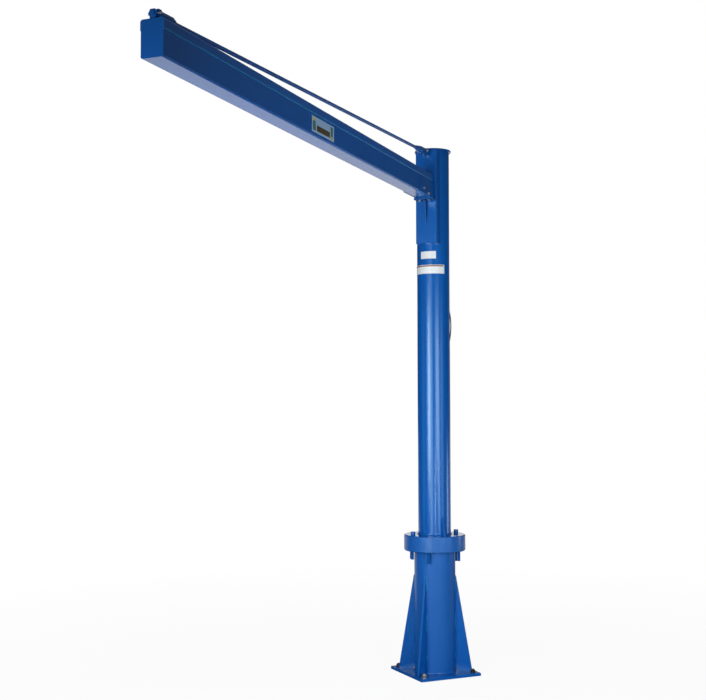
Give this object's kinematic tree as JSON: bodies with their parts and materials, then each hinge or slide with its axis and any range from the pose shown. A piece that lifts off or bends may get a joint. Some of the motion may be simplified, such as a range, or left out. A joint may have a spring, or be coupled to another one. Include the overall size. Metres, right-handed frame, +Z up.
{
  "type": "pillar jib crane",
  "caption": "Floor-mounted pillar jib crane: a turning mast on a gusseted pedestal carries a box jib held level by a tie rod.",
  "frame": {"origin": "centre of the underside of the base plate, on the slewing axis", "axes": "+Z up along the slewing axis; at rest the jib reaches along -Y; +X to the right seen from behind the tip looking at the mast"},
  "size_m": [0.6218, 3.8573, 3.498],
  "materials": {
    "blue_paint": "gloss",
    "hub_paint": "satin",
    "zinc_steel": "satin",
    "bare_steel": "satin",
    "cable_black": "satin"
  },
  "bodies": {
    "pedestal": {"base_plate": "blue_paint", "pedestal_pipe": "blue_paint", "base_gusset_front": "blue_paint", "base_gusset_right": "blue_paint", "base_gusset_rear": "blue_paint", "base_gusset_left": "blue_paint", "pivot_post": "bare_steel"},
    "crane": {"slewing_hub": "hub_paint", "mast_foot_rib_front": "blue_paint", "mast_foot_rib_rear": "blue_paint", "mast_pipe": "blue_paint", "mast_cap": "blue_paint", "head_channel": "blue_paint", "head_bottom_plate": "blue_paint", "head_top_plate": "blue_paint", "head_lug_left": "blue_paint", "head_lug_right": "blue_paint", "head_pin": "zinc_steel", "rod_head_eye": "blue_paint", "tie_rod": "blue_paint", "rod_lock_nut": "blue_paint", "rod_tip_sleeve": "blue_paint", "tip_stud": "blue_paint", "tip_end_nut": "blue_paint", "tip_anchor": "blue_paint", "jib_heel_plate": "blue_paint", "jib_beam": "blue_paint", "jib_top_channel": "blue_paint", "jib_end_plate": "blue_paint", "seat_plate": "blue_paint", "seat_cheek_left": "blue_paint", "seat_cheek_right": "blue_paint", "knee_gusset": "blue_paint", "cable_loop": "cable_black"}
  },
  "joints": [
    {"name": "mast_slew", "type": "hinge", "parent": "pedestal", "child": "crane", "pos_m": [0, 0, 0.858], "axis": [0, 0, 1], "continuous": true}
  ]
}
